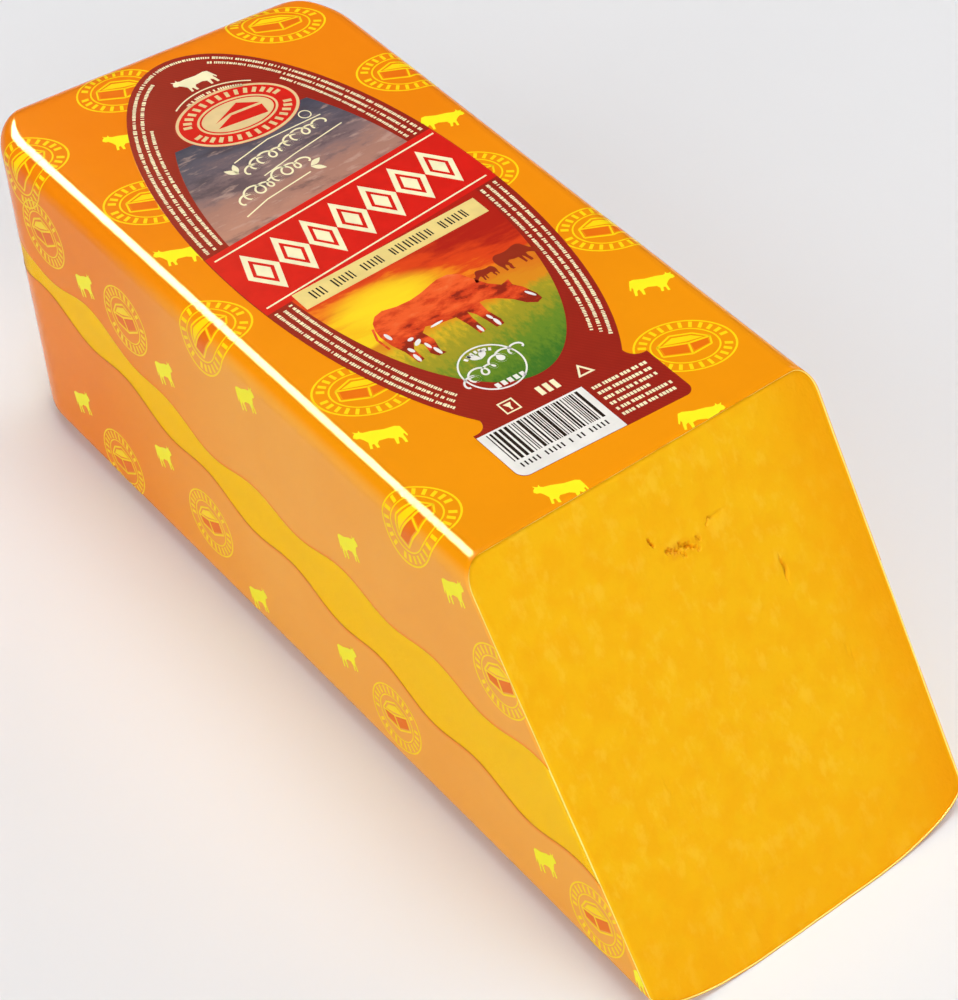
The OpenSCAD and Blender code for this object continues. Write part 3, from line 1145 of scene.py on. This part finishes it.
def build_film_edge(form, material):
    """The wrap's cut edge, a fine bead round the cut."""
    wrap = wrap_settings()
    radius, sides = wrap.bead_r, 8
    across = side_columns(form, fine=False)
    depth = form.cut_depth(across)
    rim = side_rows(form, across, wrap.sink, rows=2)[-1]
    normal = form.normal(across, depth)
    outward = np.array(form.cut_plane()[1])
    forward = outward - normal * (normal @ outward)[:, None]
    forward /= np.linalg.norm(forward, axis=1, keepdims=True)
    uneven = 1 + 0.3 * np.sin(across / (3.1 * MM)) * np.sin(across / (7.3 * MM))
    inward = rim - normal * radius * 1.1 - forward * (radius * 1.1 * uneven)[:, None]
    rows = []
    for i in range(sides):
        angle = math.tau * i / sides
        rows.append(inward + radius * (normal * math.cos(angle) + forward * math.sin(angle)))
    verts = np.concatenate(rows + [rows[0]])
    faces = grid_faces(sides + 1, len(across), closed=True)
    piece = make_piece("film_edge", verts, faces, material, "film")
    mesh = bmesh.new()
    mesh.from_mesh(piece.data)
    bmesh.ops.remove_doubles(mesh, verts=mesh.verts, dist=0.00001 * MM)
    bmesh.ops.recalc_face_normals(mesh, faces=mesh.faces)
    mesh.to_mesh(piece.data)
    mesh.free()
    return piece


# ---------------------------------------------------------------- figures on the wrap

# Distance round the block and depth from its far end in millimetres, for each figure: a first
# place, the number along the block and the pitch between them.
TOP_MEDALLIONS = (((38, 16), 3, 94), ((53.4, 58), 3, 94), ((-39.7, 68), 1, 92),
                  ((-39.7, 168), 1, 92), ((-59.5, 29), 3, 92), ((-18.7, 17.6), 1, 92))
TOP_COWS = (((-29.8, 39.3), 1, 90), ((-47, 92.5), 2, 93), ((47.5, 84.5), 2, 94),
            ((-23, 229), 1, 90), ((23, 228), 1, 90))
SIDE_COWS = (((-68, 140.7), 2, 90.8), ((-88, 96.5), 2, 87), ((-83, 56.6), 1, 90),
             ((-135, 40), 1, 90), ((-123.5, 87), 1, 90), ((-132.5, 175), 1, 90),
             ((-137, 260.6), 1, 90), ((-145, 130), 1, 90), ((-146, 300), 1, 90))
SIDE_MEDALLIONS = (((-78, 36), 1, 90), ((-82, 78), 1, 90), ((-85, 248), 1, 90),
                   ((-133, 108.5), 1, 90), ((-138.2, 196.5), 1, 90),
                   ((-140, 281), 1, 90), ((-144, 60), 1, 90))
BASE_COWS = (((-178, 60), 3, 88), ((-200, 105), 2, 88), ((-219, 30), 3, 88))
BASE_MEDALLIONS = (((-182, 100), 2, 90), ((-208, 62), 3, 88))

# The same on the far end: the distance across and the height.
END_COWS = ((-2, 83), (6, 17))
END_MEDALLIONS = ((-29, 80), (24, 81), (26, 25), (-15, 37))


def spots(groups):
    """Every place of these groups, in metres."""
    for (across, depth), count, pitch in groups:
        for i in range(count):
            yield across * MM, (depth + i * pitch) * MM


def build_wrap_figures(form, film, materials):
    """The cows, the medallions and the wedges inside them, printed all over the wrap."""
    wrap = wrap_settings()
    cow = moved(STANDING_COW, size=wrap.cow_w)
    sizes = (wrap.medallion_w, wrap.medallion_w * 0.72)
    emblem, wedge = medallion(*sizes), medallion_wedge(*sizes)
    cows, medallions, wedges = [WrapArt(form, wrap.print_sink) for _ in range(3)]
    top, side = math.radians(-20), math.radians(-65)
    for across, depth in spots(TOP_COWS):
        cows.figure([cow], (across, depth), top, mirrored=across > 0)
    for across, depth in spots(TOP_MEDALLIONS):
        medallions.figure(emblem, (across, depth), top)
        wedges.figure(wedge, (across, depth), top)
    for groups, kinds in ((SIDE_COWS + BASE_COWS, ((cows, [cow]),)),
                          (SIDE_MEDALLIONS + BASE_MEDALLIONS,
                           ((medallions, emblem), (wedges, wedge)))):
        for across, depth in spots(groups):
            beyond = depth - (6 if depth < 60 * MM else 14) * MM
            for art, shapes in kinds:
                art.figure(shapes, (across, depth), side, squeeze=0.78, mirrored=True)
                art.figure(shapes, (-across, beyond), -side, squeeze=0.78)
    skin = BVHTree.FromPolygons([v.co for v in film.data.vertices],
                                [p.vertices for p in film.data.polygons])
    upright = math.radians(190)
    for place in END_COWS:
        cows.figure([cow], [v * MM for v in place], upright, end=skin)
    for place in END_MEDALLIONS:
        place = [v * MM for v in place]
        medallions.figure(emblem, place, upright, end=skin)
        wedges.figure(wedge, place, upright, end=skin)
    return [cows.piece("print_cows", materials["yellow ink"]),
            medallions.piece("print_medallions", materials["line ink"]),
            wedges.piece("print_wedges", materials["wedge ink"])]


# ---------------------------------------------------------------- the label


LAYERS = 4                  # layers of ink above the label's sheet
INK_ROOT = 0.01 * MM        # how far ink starts inside the sheet
SHEET_ROOT = 0.07 * MM      # how far the sheet starts inside the wrap


class LabelPlan:
    """The label's outline and levels. Sizes in millimetres about the oval's centre."""

    def __init__(self):
        s = label_settings()
        self.half_w = s.oval_w / 2 / MM
        self.half_len = s.oval_len / 2 / MM
        self.foot_half = s.foot_w / 2 / MM
        self.foot_top = s.foot_lap / MM - self.half_len
        self.foot_base = self.foot_top - s.foot_len / MM
        self.corner = s.foot_corner_r / MM
        self.neck = s.neck_r / MM
        self.centre_y = LABEL_LOW.y - self.foot_base * MM
        self.picture = (s.picture_w / 2 / MM, s.picture_len / 2 / MM)

    def level(self, number):
        """Height of the top of a layer of ink, the base sheet being number 0."""
        return LABEL_HIGH.z - (LAYERS - number) * label_settings().ink_step

    def art(self, number):
        """Plates whose tops are at a layer's height, started a little inside the sheet."""
        low = self.level(0) - INK_ROOT if number else LABEL_LOW.z - SHEET_ROOT
        return FlatArt(self.centre_y, low, self.level(number))

    def outline(self):
        """The oval and its foot, with the necks between them."""
        start = math.asin((self.foot_top + self.neck) / self.half_len)
        middle_x = self.half_w * math.cos(start) + self.neck
        right = ellipse((self.foot_half - self.corner, self.foot_base + self.corner),
                        (self.corner, self.corner), 8, start=270, end=360 - 0.001)
        right += [(self.foot_half, self.foot_top)]
        right += ellipse((middle_x, self.foot_top + self.neck), (self.neck, self.neck), 10,
                         start=180, end=269.99)[::-1]
        right += ellipse((0, 0), (self.half_w, self.half_len), 70,
                         start=math.degrees(start) + 0.5, end=90)
        return right + [(-x, y) for x, y in right[-2::-1]]

    def banner_top(self, x):
        """Height of the banner's upper edge."""
        return 19.8 + x * math.tan(label_settings().banner_tilt)

    def banner_base(self, x):
        """Height of the banner's lower edge."""
        return -9.9 + x * math.tan(label_settings().banner_tilt)

    def panel(self, top=None, base=None, radii=None):
        """The part of an oval, the picture's if none is given, between two straight lines."""
        ring = ellipse((0, 0), radii or self.picture, 160)
        if top:
            ring = clipped(ring, lambda x, y: top(x) - y)
        if base:
            ring = clipped(ring, lambda x, y: y - base(x))
        return ring


def print_rows(plan, art, inset, spread, height):
    """One row of fine marks round the oval, like small print, broken by the banner.

    Above the banner it is also left out within spread of the middle.
    """
    def on_oval(degrees):
        turn = math.radians(degrees)
        return Vector(((plan.half_w - inset) * math.cos(turn),
                       (plan.half_len - inset) * math.sin(turn)))

    rows = random.Random(int(inset * 10))
    angle = -52.0
    while angle < 232:
        point = on_oval(angle)
        along = on_oval(angle + 0.2) - point
        per_mm = 0.2 / along.length
        along.normalize()
        length = rows.uniform(0.3, 0.62)
        hidden = plan.banner_base(point.x) - 1.2 < point.y < plan.banner_top(point.x) + 1.2
        in_top = abs(point.x) < spread and point.y > 0
        if not hidden and not in_top:
            tall = height * rows.uniform(0.7, 1.0)
            out = Vector((along.y, -along.x)) * tall / 2
            a, b = point - along * length / 2, point + along * length / 2
            art.plate([tuple(a - out), tuple(a + out), tuple(b + out), tuple(b - out)])
        gap = 0.75 if rows.random() < 0.16 else 0.22
        angle += (length + gap) * per_mm


def curl(start, end, loops, size):
    """A running curl of loops from start to end, leaning with them."""
    start, end = Vector(start), Vector(end)
    ahead = end - start
    side = Vector((-ahead.y, ahead.x)).normalized()
    points = []
    steps = int(loops * 18)
    for i in range(steps + 1):
        share = i / steps
        turn = share * loops * math.tau
        swell = size * (0.6 + 0.4 * math.sin(share * 7.0) ** 2)
        spot = start + ahead * share - ahead.normalized() * swell * 0.55 * math.sin(turn)
        points.append(tuple(spot + side * swell * (0.5 - 0.5 * math.cos(turn))))
    return points


def build_label():
    """Every piece of the label, from its sheet up."""
    plan = LabelPlan()
    materials = label_materials(plan)
    pieces = []

    def keep(art, name, material):
        pieces.append(art.piece(name, materials[material]))

    sheet = plan.art(0)
    sheet.plate(plan.outline())
    keep(sheet, "label_sheet", "label red")

    sky = plan.art(1)
    sky.plate(plan.panel(lambda x: 59.6, plan.banner_top))
    keep(sky, "label_sky", "sky")
    meadow = plan.art(1)
    meadow.plate(plan.panel(plan.banner_base))
    keep(meadow, "label_meadow", "meadow")

    banner = plan.art(2)
    radii = (plan.half_w - 0.15, plan.half_len - 0.15)
    banner.plate(plan.panel(plan.banner_top, plan.banner_base, radii))
    keep(banner, "label_banner", "banner red")

    build_banner_marks(plan, keep)
    build_emblem(plan, keep)
    build_sky_marks(plan, keep)
    build_pasture(plan, keep)
    build_foot(plan, keep)
    return pieces


def build_banner_marks(plan, keep):
    """Seven pointed lozenges between two lines on the banner, and the cream strip below it."""
    marks = plan.art(3)
    tilt = label_settings().banner_tilt
    for edge, side in ((plan.banner_top, -2.4), (plan.banner_base, 2.4)):
        line = [(x, edge(x) + side) for x in (-41.4, -20, 0, 20, 41.4)]
        marks.stroke(line, 0.55)
    widths = (10.4, 10.0, 9.4, 10.2, 10.2, 10.4, 9.8)
    where = -38.2
    for width in widths:
        middle = where + width / 2
        y = (plan.banner_top(middle) + plan.banner_base(middle)) / 2
        half, tall = width / 2 + 0.4, 9.8
        outer = [(-half, 0), (0, -tall), (half, 0), (0, tall)]
        place = (middle, y)
        marks.plate(moved(outer, place, turn=tilt), moved(outer, place, 0.66, tilt)[::-1])
        marks.plate(moved(outer, place, 0.44, tilt))
        where += width + 1.0
    keep(marks, "label_banner_marks", "cream")

    strip, words = plan.art(3), plan.art(4)
    tilt = label_settings().strip_tilt
    strip.plate([(-33, -20.5), (32, -14.9), (32, -7.5), (-33, -13.1)])
    keep(strip, "label_strip", "strip")
    rows = random.Random(5)
    x = -28.6
    while x < 27:
        if rows.random() > 0.12:
            middle = (x + 0.5) * math.tan(tilt) - 13.9
            tall = rows.uniform(1.5, 1.9)
            for start, width in ((0.0, 0.55), (rows.uniform(0.9, 1.3), 0.45)):
                bar = oblong(start, -tall, start + width, tall)
                words.plate(moved(bar, (x, middle), turn=tilt))
        x += 2.55
    keep(words, "label_strip_marks", "dark")


def build_emblem(plan, keep):
    """The oval emblem: a ring of dashes round a wedge of cheese."""
    centre = (2.0, 64.4)
    face = plan.art(2)
    face.plate(ellipse(centre, (19.6, 13.4)))
    keep(face, "emblem_field", "banner red")
    lines = plan.art(3)
    lines.ring(centre, (19.0, 12.8), 0.9)
    lines.ring(centre, (12.6, 7.6), 0.7)
    angles = [math.tau * (i + 0.5) / 34 for i in range(34)]
    angles = [angle for angle in angles if abs(math.sin(angle)) >= 0.14]
    for dash in spokes(centre, (15.9, 10.2), angles, (0.6, 1.25)):
        lines.plate(dash)
    lines.plate(ellipse(centre, (11.6, 6.7)))
    keep(lines, "emblem_lines", "emblem cream")
    wedge = plan.art(4)
    wedge.plate(moved(((-0.5, -0.17), (0.46, -0.24), (0.5, 0.02), (-0.1, 0.04)), centre, 17))
    wedge.plate(moved(((-0.46, -0.02), (-0.1, 0.10), (0.5, 0.08), (0.16, 0.30)), centre, 17))
    keep(wedge, "emblem_wedge", "banner red")


def build_sky_marks(plan, keep):
    """The cream marks over the sky: a cow, curls, leaves and rows like small print."""
    marks = plan.art(3)
    marks.plate(moved(STANDING_COW, (1.6, 85.4), 13.5))
    marks.stroke(ellipse((1.6, 60.5), (21, 20), 26, start=52, end=128), 0.45)
    small = random.Random(11)
    angles = [math.radians(60 + 60 * i / 26) for i in range(27)]
    for dash in spokes((1.6, 60.4), (18.6, 18.0), angles, (0.26, 0.5)):
        if small.random() > 0.12:
            marks.plate(dash)
    marks.stroke(curl((-11, 38.6), (20, 46.6), 9, 4.4), 0.62)
    marks.stroke(curl((-20, 27.5), (5.5, 33.8), 7, 4.8), 0.62)
    marks.stroke([(-8.5, 35.5), (4, 39.0), (23.5, 43.4)], 0.4)
    marks.stroke([(-23, 22.6), (-14, 26.0), (3, 29.4)], 0.45)
    marks.stroke([(-12, 45.4), (2, 49.4), (21, 50.4)], 0.4)
    for spot, turn in (((-13.6, 40.4), 2.3), ((-14.0, 40.6), 1.3), ((4.6, 31.6), 0.4),
                       ((4.4, 31.4), -0.7)):
        marks.plate(moved(leaf(4.6, 1.9), spot, turn=turn))
    marks.ring((17.4, 53.0), (1.8, 1.8), 0.35, 24)
    for inset, spread, height in ((2.3, 0.0, 1.15), (4.9, 9.0, 1.15), (7.5, 22.0, 1.1)):
        print_rows(plan, marks, inset, spread, height)
    keep(marks, "label_marks", "cream")


# The white patches on the grazing cow: place, radii and turn of each.
HIDE_PATCHES = (
    ((-15.3, -54.8), (0.6, 1.7), 0.1), ((-21.4, -54.0), (0.6, 1.8), 0.0),
    ((-17.6, -49.0), (1.5, 0.7), 0.6), ((4.4, -54.6), (0.6, 1.7), 0.0),
    ((-16.2, -51.6), (0.5, 1.4), 0.1), ((-20.9, -50.6), (0.6, 1.2), 0.3),
    ((-0.9, -54.2), (0.5, 1.6), 0.0), ((-22.6, -42.6), (0.6, 1.6), 0.1),
    ((4.0, -51.8), (0.5, 1.2), 0.2), ((-18.4, -46.9), (1.0, 0.6), 0.2),
    ((18.8, -50.4), (0.5, 1.8), 0.45), ((-9.0, -45.8), (2.2, 0.4), 0.1))


def build_pasture(plan, keep):
    """The grazing cows on the meadow, and the round badge on its grass."""
    big = plan.art(2)
    big.plate(moved(GRAZING_COW, (-1.6, -42.0), 42))
    big.stroke([(-24.0, -37.6), (-25.6, -42.0), (-25.2, -47.0)], 0.7)
    keep(big, "pasture_cow", "cow red")
    small = plan.art(2)
    small.plate(moved(GRAZING_COW, (26.4, -34.6), 13.5))
    small.plate(moved(GRAZING_COW, (13.9, -36.2), 7.6, mirrored=True)[::-1])
    keep(small, "pasture_far_cows", "cow brown")
    patches = plan.art(3)
    for place, radii, turn in HIDE_PATCHES:
        patches.plate(ellipse(place, radii, 16, turn=turn))
    keep(patches, "pasture_patches", "white")
    badge = plan.art(4)
    badge.ring((-8.0, -68.6), (9.0, 9.0), 0.5, 60)
    badge.stroke(curl((-17.5, -72.0), (3.5, -66.6), 6, 4.2), 0.6)
    for turn in (0.9, 2.3):
        badge.plate(moved(leaf(4.2, 2.0), (-8.2, -64.4), turn=turn))
    angles = [math.radians(58 + 64 * i / 6) for i in range(7)]
    for dash in spokes((-8, -68.6), (7.3, 7.3), angles, (0.4, 0.6)):
        badge.plate(dash)
    for x in (-12.0, -10.0, -8.0, -6.0, -4.0):
        badge.plate(oblong(x, -76.4, x + 1.3, -74.6))
    keep(badge, "pasture_badge", "white")


def build_foot(plan, keep):
    """The foot: small signs, rows like small print, and stripes on a white field."""
    icons = plan.art(3)
    square = oblong(-2.4, -2.4, 2.4, 2.4)
    icons.plate(moved(square, (-14, -83.6)), moved(square, (-14, -83.6), 0.82)[::-1])
    icons.plate(moved(((-1.2, 1.2), (1.2, 1.2), (0.3, -0.3), (0.3, -1.4), (-0.3, -1.4),
                       (-0.3, -0.3)), (-14, -83.6))[::-1])
    for x in (-4.6, -2.2, 0.2):
        icons.plate(oblong(x, -85.4, x + 1.5, -81.9))
    triangle = [(-2.7, -2.0), (2.7, -2.0), (0.0, 2.6)]
    icons.plate(moved(triangle, (10, -83.6)), moved(triangle, (10, -83.8), 0.62)[::-1])
    rows = random.Random(3)
    for row in range(6):
        x = 7.4
        while x < (25 if row != 3 else 20):
            length = rows.uniform(0.5, 1.0)
            y = -91.0 - 2.5 * row
            icons.plate(oblong(x, y - 0.55, x + length, y + 0.55))
            x += length + (0.8 if rows.random() < 0.18 else 0.3)
    keep(icons, "foot_marks", "cream")

    field = plan.art(2)
    left, base = -plan.foot_half + 0.05, plan.foot_base + 0.05
    outline = [(left, plan.foot_top - 1.2), (left, base + 3)]
    outline += ellipse((left + 3, base + 3), (3, 3), 8, start=180, end=269.99)
    outline += [(5.6, base), (5.6, plan.foot_top - 1.2)]
    field.plate(outline)
    keep(field, "foot_field", "white")
    stripes = plan.art(3)
    x = -26.0
    while x < 3.4:
        width = rows.choice((0.32, 0.32, 0.64, 0.96))
        stripes.plate(oblong(x, -101.4, x + width, -89.4))
        x += width + rows.choice((0.32, 0.32, 0.64, 0.64))
    x = -25.4
    while x < 3.0:
        stripes.plate(oblong(x, -104.4, x + 0.5, -102.6))
        x += 1.3 if rows.random() > 0.15 else 2.6
    keep(stripes, "foot_stripes", "dark")


# ---------------------------------------------------------------- materials by name


def wrap_materials():
    """The wrap and the inks printed on it."""
    wrap = wrap_settings()
    yellow, line = tuple(wrap.yellow), tuple(wrap.line_yellow)
    return {
        "film": film_material(),
        "yellow ink": ink_material("yellow ink", yellow, deeper(yellow, 0.92)),
        "line ink": ink_material("line ink", line, deeper(line, 0.92)),
        "wedge ink": ink_material("wedge ink", srgb(236, 116, 14), srgb(230, 104, 12)),
        "film edge": ink_material("film edge", srgb(255, 238, 130), srgb(250, 214, 90),
                                  everywhere=True)}


def label_materials(plan):
    """The label's stock, its flat inks and its pictures."""
    label = label_settings()
    flat = {
        "banner red": label.banner_red, "cream": label.cream, "white": label.white,
        "dark": label.dark, "emblem cream": srgb(232, 202, 146), "strip": srgb(240, 214, 134),
        "cow brown": srgb(150, 44, 22)}
    made = {name: paper_material(name, tuple(colour)) for name, colour in flat.items()}
    made["label red"] = paper_material("label red", tuple(label.red), ridges=0.7)
    made["sky"] = sky_material(plan)
    made["meadow"] = meadow_material(plan)
    made["cow red"] = hide_material(plan)
    return made


# ---------------------------------------------------------------- stage


def build_floor():
    """A large flat floor whose top is at the base of the block."""
    reach, cells = 4.0, 8
    line = np.linspace(-reach, reach, cells + 1)
    verts = [(x, y, FILM_LOW.z) for y in line for x in line]
    floor = make_piece("floor", verts, grid_faces(cells + 1, cells + 1), floor_material(),
                       smooth=False)
    return floor


def area_light(name, towards, size, power):
    """A soft rectangular light that looks at the block's middle from a direction."""
    data = bpy.data.lights.new(name, "AREA")
    data.shape = "RECTANGLE"
    data.size, data.size_y = size
    data.energy = power
    light = bpy.data.objects.new(name, data)
    away = Vector(towards).normalized()
    light.location = Vector((0, 0, 50 * MM)) + away * stage_settings().light_distance
    light.rotation_euler = away.to_track_quat("Z", "Y").to_euler()
    bpy.context.scene.collection.objects.link(light)
    return light


def build_camera():
    """The view along the block, turned by its azimuth, elevation and roll."""
    stage = stage_settings()
    a, e, roll = stage.view_azimuth, stage.view_elevation, stage.view_roll
    back = Vector((math.sin(a) * math.cos(e), -math.cos(a) * math.cos(e), math.sin(e)))
    right = Vector((math.cos(a), math.sin(a), 0))
    up = back.cross(right)
    turned_right = right * math.cos(roll) + up * math.sin(roll)
    turned_up = up * math.cos(roll) - right * math.sin(roll)
    data = bpy.data.cameras.new("view")
    data.lens = stage.lens
    data.sensor_width = 36
    data.clip_start, data.clip_end = 0.05, 20
    camera = bpy.data.objects.new("view", data)
    bpy.context.scene.collection.objects.link(camera)
    rotation = Matrix((turned_right, turned_up, back)).transposed()
    camera.rotation_mode = "QUATERNION"
    camera.rotation_quaternion = rotation.to_quaternion()
    aim = Vector((stage.aim_x, stage.aim_y, stage.aim_z))
    camera.location = aim + back * stage.view_distance
    bpy.context.scene.camera = camera
    return camera


def build_lights():
    """Broad soft lights, one warm strip that only shines on glossy edges, and an even sky."""
    stage = stage_settings()
    area_light("top light", (0.10, 0.12, 0.98), (2.4, 2.4), stage.key_power)
    area_light("side light", (-0.86, -0.30, 0.42), (2.9, 2.9), stage.side_power)
    area_light("front light", (-0.35, -0.75, 0.56), (2.9, 2.6), stage.front_power)
    area_light("back light", (0.85, 0.30, 0.43), (1.6, 1.6), stage.back_power)
    edge = area_light("edge light", (0.05, 0.58, 0.81), (1.8, 3.45), stage.edge_power)
    edge.visible_diffuse = False
    edge.data.color = (1.0, 0.92, 0.46)
    world = bpy.data.worlds.new("even light")
    world.use_nodes = True
    background = world.node_tree.nodes["Background"]
    background.inputs["Color"].default_value = (1, 1, 1, 1)
    background.inputs["Strength"].default_value = stage.sky_strength
    bpy.context.scene.world = world
    bpy.context.scene.view_settings.view_transform = "Standard"


# ---------------------------------------------------------------- operators and panel


def need(pieces, label):
    """Stops the build if a group of pieces came out empty."""
    if not pieces or any(not len(piece.data.polygons) for piece in pieces):
        raise RuntimeError(f"{label} could not be built")


class CHEDDAR_OT_cheese(bpy.types.Operator):
    """Build the block of cheese with its slanting cut"""

    bl_idname = "cheddar.cheese"
    bl_label = "Cheese"

    def execute(self, context):
        form = BlockForm(block_settings())
        piece = build_cheese(form, cheese_material())
        need([piece], self.bl_label)
        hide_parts("cheese")
        return {"FINISHED"}


class CHEDDAR_OT_wrap(bpy.types.Operator):
    """Build the printed shrink wrap, its cut edge and its figures"""

    bl_idname = "cheddar.wrap"
    bl_label = "Wrap"

    def execute(self, context):
        form = BlockForm(block_settings())
        materials = wrap_materials()
        film = build_film(form, materials["film"])
        edge = build_film_edge(form, materials["film edge"])
        figures = build_wrap_figures(form, film, materials)
        need([film, edge, *figures], self.bl_label)
        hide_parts("film")
        return {"FINISHED"}


class CHEDDAR_OT_label(bpy.types.Operator):
    """Build the oval label with its picture, banner and stripes"""

    bl_idname = "cheddar.label"
    bl_label = "Label"

    def execute(self, context):
        pieces = build_label()
        need(pieces, self.bl_label)
        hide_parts("label")
        return {"FINISHED"}


class CHEDDAR_OT_stage(bpy.types.Operator):
    """Build the floor, the lights and the view"""

    bl_idname = "cheddar.stage"
    bl_label = "Stage"

    def execute(self, context):
        need([build_floor()], self.bl_label)
        build_lights()
        build_camera()
        return {"FINISHED"}


class CHEDDAR_PT_panel(bpy.types.Panel):
    """Buttons that build the block and its stage"""

    bl_idname = "CHEDDAR_PT_panel"
    bl_label = "Cheddar block"
    bl_space_type = "VIEW_3D"
    bl_region_type = "UI"
    bl_category = "Cheddar"

    def draw(self, context):
        for operator in OPERATORS:
            self.layout.operator(operator.bl_idname)


SETTINGS = {
    "cheddar_block": CheddarBlockSettings,
    "cheddar_wrap": CheddarWrapSettings,
    "cheddar_label": CheddarLabelSettings,
    "cheddar_stage": CheddarStageSettings,
}
OPERATORS = (CHEDDAR_OT_cheese, CHEDDAR_OT_wrap, CHEDDAR_OT_label, CHEDDAR_OT_stage)


def register():
    """Adds the settings, the operators and the panel to Blender."""
    for made in (*SETTINGS.values(), *OPERATORS, CHEDDAR_PT_panel):
        bpy.utils.register_class(made)
    for name, group in SETTINGS.items():
        setattr(bpy.types.Scene, name, bpy.props.PointerProperty(type=group))


def unregister():
    """Takes them away again."""
    for name in SETTINGS:
        delattr(bpy.types.Scene, name)
    for made in (CHEDDAR_PT_panel, *OPERATORS, *SETTINGS.values()):
        bpy.utils.unregister_class(made)


def main():
    """Builds every piece."""
    register()
    bpy.ops.cheddar.cheese()
    bpy.ops.cheddar.wrap()
    bpy.ops.cheddar.label()
    bpy.ops.cheddar.stage()


if __name__ == "__main__":
    main()
